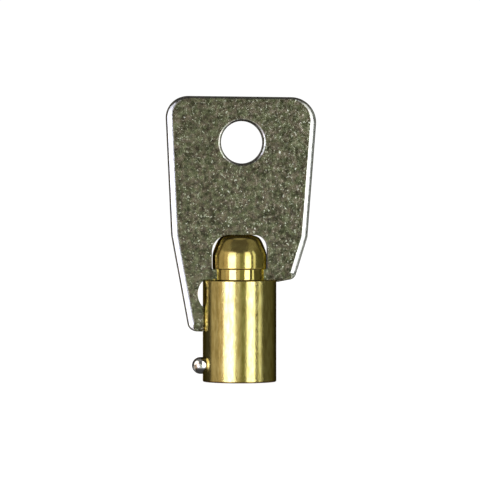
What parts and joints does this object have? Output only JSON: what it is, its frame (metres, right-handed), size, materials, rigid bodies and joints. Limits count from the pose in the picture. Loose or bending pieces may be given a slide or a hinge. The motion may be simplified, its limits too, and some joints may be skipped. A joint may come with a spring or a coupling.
{
  "type": "tubular key",
  "caption": "Small key: flat stamped bow with a ring hole and one long guide leg, carried on a short round brass barrel with an open socket and a side locating nib.",
  "frame": {"origin": "on the barrel axis in the plane of the barrel's open rim", "axes": "+Z along the barrel toward the bow, -Y out of the bow's bevelled front face, -X toward the guide leg; the locating nib points 9 degrees forward of -X"},
  "size_m": [0.0195, 0.0096, 0.0371],
  "materials": {
    "plated_steel": "dull nickel plate, tumbled and finely pitted",
    "brass_tube": "drawn tube, fine lengthwise grain, lightly aged",
    "brass_turned": "turned and polished",
    "bright_steel": "bright rounded pin end, slightly stained"
  },
  "bodies": {
    "root": {"bow": "plated_steel", "barrel": "brass_tube", "core": "brass_turned", "locating_pin": "bright_steel"}
  },
  "joints": []
}
